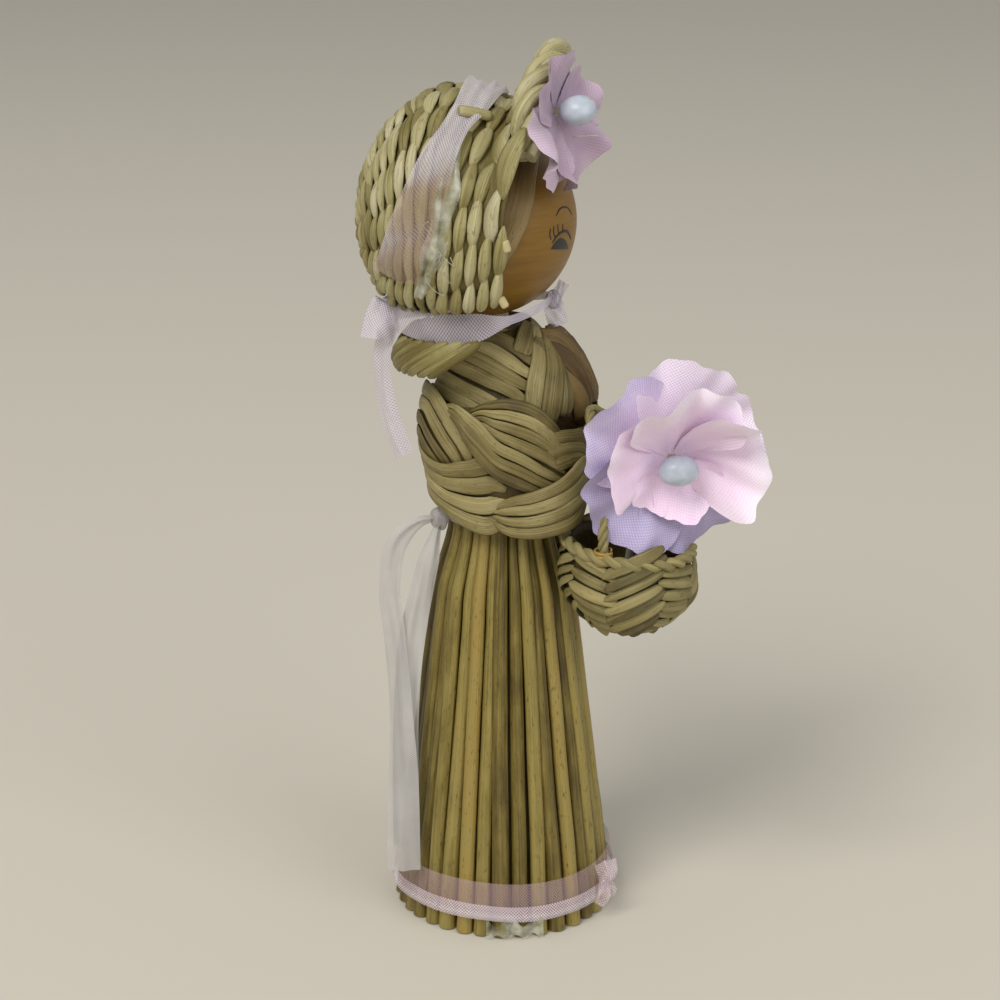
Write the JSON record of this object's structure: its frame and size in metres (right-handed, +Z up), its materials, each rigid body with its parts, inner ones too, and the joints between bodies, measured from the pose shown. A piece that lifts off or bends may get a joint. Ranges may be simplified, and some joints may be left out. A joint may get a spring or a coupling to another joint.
{
  "type": "straw doll",
  "caption": "Standing straw doll with a rush-stem skirt, plaited arms and bonnet, a wooden bead head, ribbon trims and a small basket holding a cloth flower.",
  "frame": {"origin": "middle of the bounding box on the surface that the doll stands on", "axes": "+Z up; the skirt, hands and basket face -Y; the doll's right side is towards -X"},
  "size_m": [0.0408, 0.0628, 0.135],
  "materials": {
    "stem": "satin dried rush, olive ochre with brown flecks",
    "stem_shaded": "satin dried rush, browner",
    "plait": "plaited dried rush, straw to olive",
    "leaf": "flat dried leaf strips with fine ribs",
    "bead_wood": "smooth turned wood with painted eyes",
    "peg_wood": "plain dowel",
    "twine": "twisted twine",
    "ribbon_white": "sheer woven ribbon",
    "ribbon_pink": "sheer woven ribbon, faded pink",
    "ribbon_lilac": "sheer woven ribbon, faded lilac",
    "petal_lilac": "stiffened plain-weave cloth",
    "petal_pink": "stiffened plain-weave cloth",
    "stamen": "pale blue bead on wire"
  },
  "bodies": {
    "body": {"skirt_stem_outer_01": "stem", "skirt_stem_inner_01": "stem_shaded", "skirt_stem_outer_02": "stem", "skirt_stem_inner_02": "stem_shaded", "skirt_stem_outer_03": "stem", "skirt_stem_inner_03": "stem_shaded", "skirt_stem_outer_04": "stem", "skirt_stem_inner_04": "stem_shaded", "skirt_stem_outer_05": "stem", "skirt_stem_inner_05": "stem_shaded", "skirt_stem_outer_06": "stem", "skirt_stem_inner_06": "stem_shaded", "skirt_stem_outer_07": "stem", "skirt_stem_inner_07": "stem_shaded", "skirt_stem_outer_08": "stem", "skirt_stem_inner_08": "stem_shaded", "skirt_stem_outer_09": "stem", "skirt_stem_inner_09": "stem_shaded", "skirt_stem_outer_10": "stem", "skirt_stem_inner_10": "stem_shaded", "skirt_stem_outer_11": "stem", "skirt_stem_inner_11": "stem_shaded", "skirt_stem_outer_12": "stem", "skirt_stem_inner_12": "stem_shaded", "skirt_stem_outer_13": "stem", "skirt_stem_inner_13": "stem_shaded", "skirt_stem_outer_14": "stem", "skirt_stem_inner_14": "stem_shaded", "skirt_stem_outer_15": "stem", "skirt_stem_inner_15": "stem_shaded", "skirt_stem_outer_16": "stem", "skirt_stem_inner_16": "stem_shaded", "skirt_stem_outer_17": "stem", "skirt_stem_inner_17": "stem_shaded", "waist_binding": "twine", "sash_ribbon": "ribbon_white", "hem_ribbon": "ribbon_pink", "neck_peg": "peg_wood", "bodice_core": "leaf", "shoulder_wrap_right": "leaf", "arm_right": "leaf", "shoulder_wrap_left": "leaf", "arm_left": "leaf"},
    "head": {"head_bead": "bead_wood", "hair_strips": "leaf", "bonnet_crown_plait": "plait", "bonnet_brim_plait": "plait", "bonnet_frill": "plait", "crown_ribbon": "ribbon_pink", "neck_ribbon": "ribbon_lilac", "bonnet_flower_petals": "petal_pink", "bonnet_flower_stamen": "stamen"},
    "basket": {"basket": "plait", "basket_handle": "plait", "basket_flower_outer_petals": "petal_lilac", "basket_flower_inner_petals": "petal_pink", "basket_flower_stamen": "stamen"}
  },
  "joints": [
    {"name": "head_turn", "type": "hinge", "parent": "body", "child": "head", "pos_m": [-0.00078, 0.00865, 0.064], "axis": [0, 0.0872, 0.9962], "range_deg": [-25, 25]},
    {"name": "basket_swing", "type": "hinge", "parent": "body", "child": "basket", "pos_m": [-0.00078, -0.006, 0.07552], "axis": [-1, 0, 0], "range_deg": [0, 15]}
  ]
}
